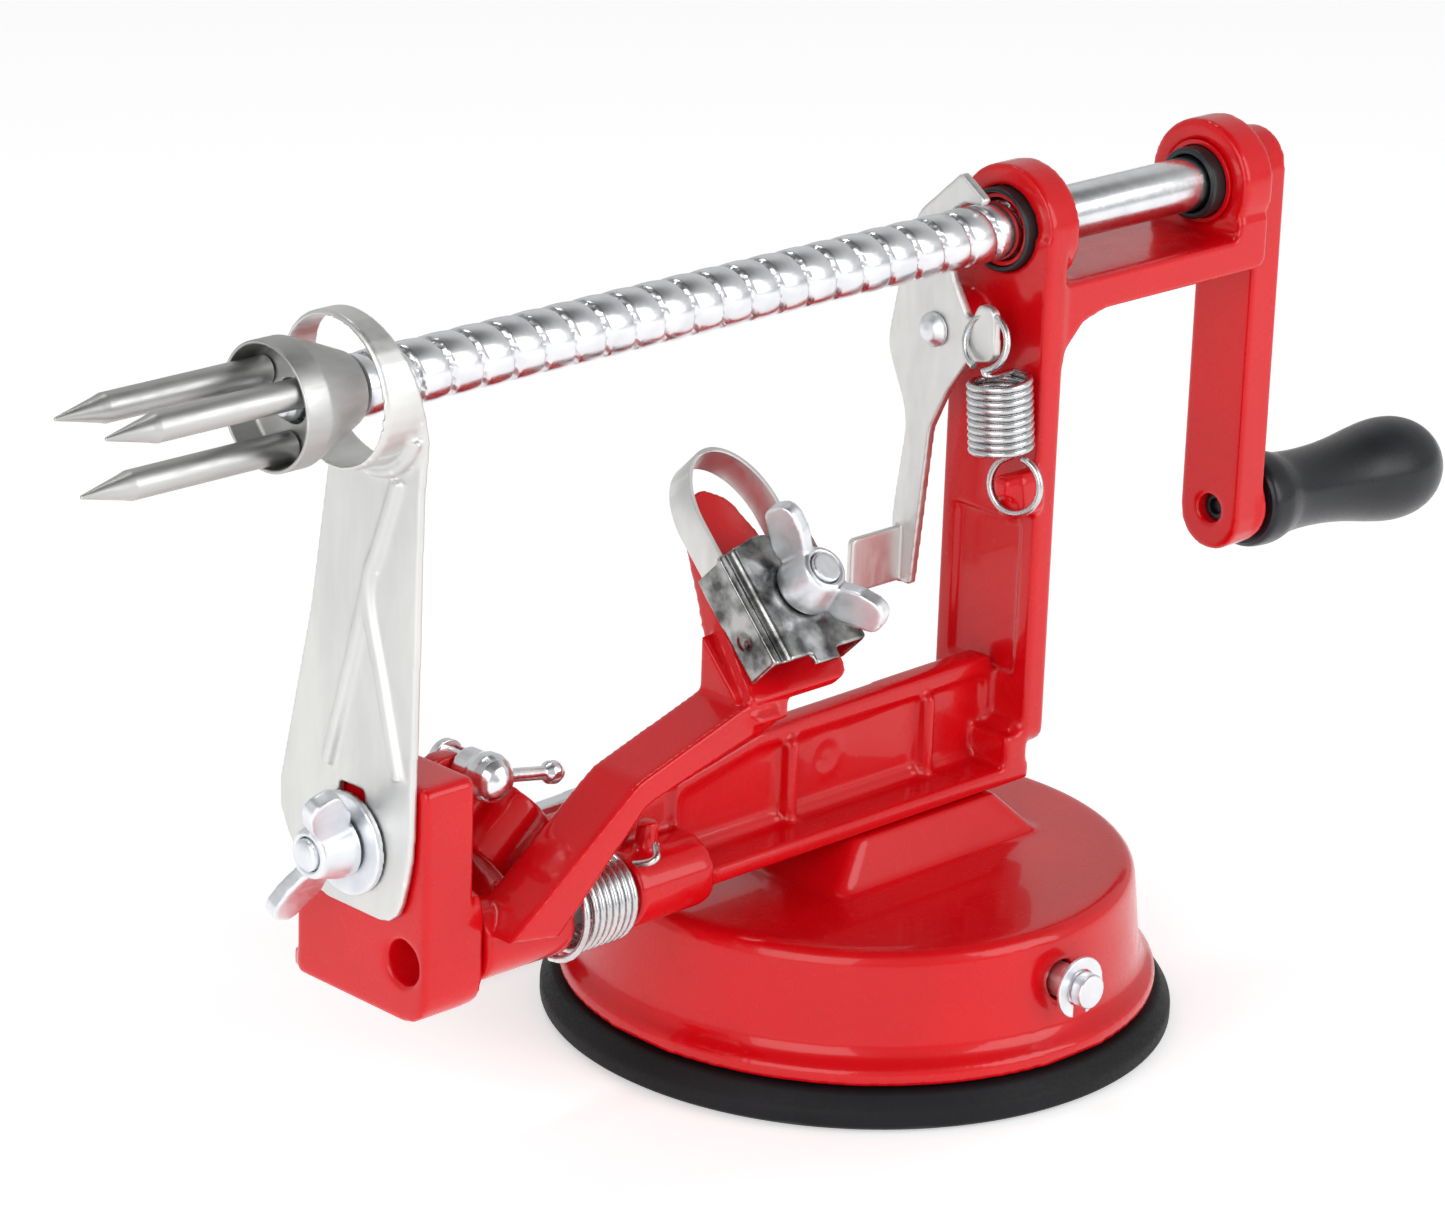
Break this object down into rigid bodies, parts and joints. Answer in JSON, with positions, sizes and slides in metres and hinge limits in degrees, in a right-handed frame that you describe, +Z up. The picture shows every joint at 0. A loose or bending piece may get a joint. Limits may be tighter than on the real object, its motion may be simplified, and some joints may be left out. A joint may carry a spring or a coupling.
{
  "type": "apple peeler corer",
  "caption": "Hand-cranked apple peeler, corer and slicer on a suction base, with a threaded fork shaft, a sprung peeling arm and a coring ring.",
  "frame": {"origin": "centre of the suction pad's flat underside, on the table", "axes": "+Z up, +X along the drive shaft from the fork towards the crank, +Y to the side of the suction lever"},
  "size_m": [0.2968, 0.1075, 0.1375],
  "materials": {
    "red_enamel": "gloss",
    "shaft_chrome": "polished",
    "plate_steel": "satin",
    "fork_steel": "satin",
    "bracket_steel": "polished",
    "zinc": "satin",
    "spring_steel": "polished",
    "pad_rubber": "matt",
    "grip_plastic": "satin",
    "bush_plastic": "satin"
  },
  "bodies": {
    "stand": {"base_casting": "red_enamel", "suction_pad": "pad_rubber", "frame_screw_left": "zinc", "frame_screw_right": "zinc", "frame_casting": "red_enamel", "end_block": "red_enamel", "pivot_rod": "plate_steel", "stop_screw": "shaft_chrome", "clamp_screw": "shaft_chrome", "slicer_bolt": "zinc", "slicer_washer": "zinc", "lever_rivet": "zinc", "arm_spring": "spring_steel", "lever_spring": "spring_steel", "pad_stem": "zinc"},
    "spindle": {"front_bush": "bush_plastic", "rear_bush": "bush_plastic"},
    "feed": {"drive_shaft": "shaft_chrome", "fork_hub": "fork_steel", "fork_rivet": "zinc", "prong_far": "fork_steel", "prong_near": "fork_steel", "prong_lower": "fork_steel", "crank_arm": "red_enamel", "handle_pin": "zinc"},
    "grip": {"handle_grip": "grip_plastic"},
    "arm": {"peeler_arm": "red_enamel"},
    "head": {"blade_bracket": "bracket_steel", "peeler_blade": "plate_steel", "blade_spacer": "bracket_steel", "blade_bolt": "zinc"},
    "head_nut": {"blade_wing_nut": "zinc"},
    "slicer": {"slicer_plate": "plate_steel"},
    "slicer_nut": {"slicer_wing_nut": "zinc"},
    "clamp": {"clamp_lever": "shaft_chrome"},
    "release": {"release_lever": "plate_steel"},
    "cam": {"cam_shaft": "zinc", "e_clip": "zinc", "suction_lever": "zinc", "lever_boss": "zinc", "lever_grip": "grip_plastic"}
  },
  "joints": [
    {"name": "shaft_turn", "type": "hinge", "parent": "stand", "child": "spindle", "pos_m": [0, 0, 0.1257], "axis": [1, 0, 0], "continuous": true},
    {"name": "shaft_feed", "type": "slide", "parent": "spindle", "child": "feed", "axis": [1, 0, 0], "range_m": [0, 0.1005]},
    {"name": "grip_spin", "type": "hinge", "parent": "feed", "child": "grip", "pos_m": [0.0832, 0, 0.0671], "axis": [0.9984, 0, -0.0558], "continuous": true},
    {"name": "arm_swing", "type": "hinge", "parent": "stand", "child": "arm", "pos_m": [-0.08, -0.0053, 0.0367], "axis": [1, 0, 0], "range_deg": [0, 50], "stiffness_Nm_per_rad": 0.3, "springref_deg": -34.38},
    {"name": "head_turn", "type": "hinge", "parent": "arm", "child": "head", "pos_m": [-0.0283, -0.0069, 0.0756], "axis": [0, -0.7193, 0.6947], "range_deg": [-10, 10]},
    {"name": "head_nut_turn", "type": "hinge", "parent": "head", "child": "head_nut", "pos_m": [-0.0283, -0.0069, 0.0756], "axis": [0, -0.7193, 0.6947], "continuous": true},
    {"name": "slicer_tilt", "type": "hinge", "parent": "stand", "child": "slicer", "pos_m": [-0.104, 0.0044, 0.0536], "axis": [1, 0, 0], "range_deg": [-1, 1]},
    {"name": "slicer_nut_turn", "type": "hinge", "parent": "stand", "child": "slicer_nut", "pos_m": [-0.106, 0.0044, 0.0536], "axis": [-1, 0, 0], "continuous": true},
    {"name": "clamp_turn", "type": "hinge", "parent": "stand", "child": "clamp", "pos_m": [-0.081, 0.005, 0.0592], "axis": [0, -1, 0], "range_deg": [0, 90]},
    {"name": "release_swing", "type": "hinge", "parent": "stand", "child": "release", "pos_m": [0.0198, 0.0066, 0.1089], "axis": [1, 0, 0], "range_deg": [-8, 0], "stiffness_Nm_per_rad": 0.25, "springref_deg": 11.46, "deforming": ["lever_spring"]},
    {"name": "cam_turn", "type": "hinge", "parent": "stand", "child": "cam", "pos_m": [0, 0, 0.0184], "axis": [0, 1, 0], "range_deg": [0, 90]}
  ]
}
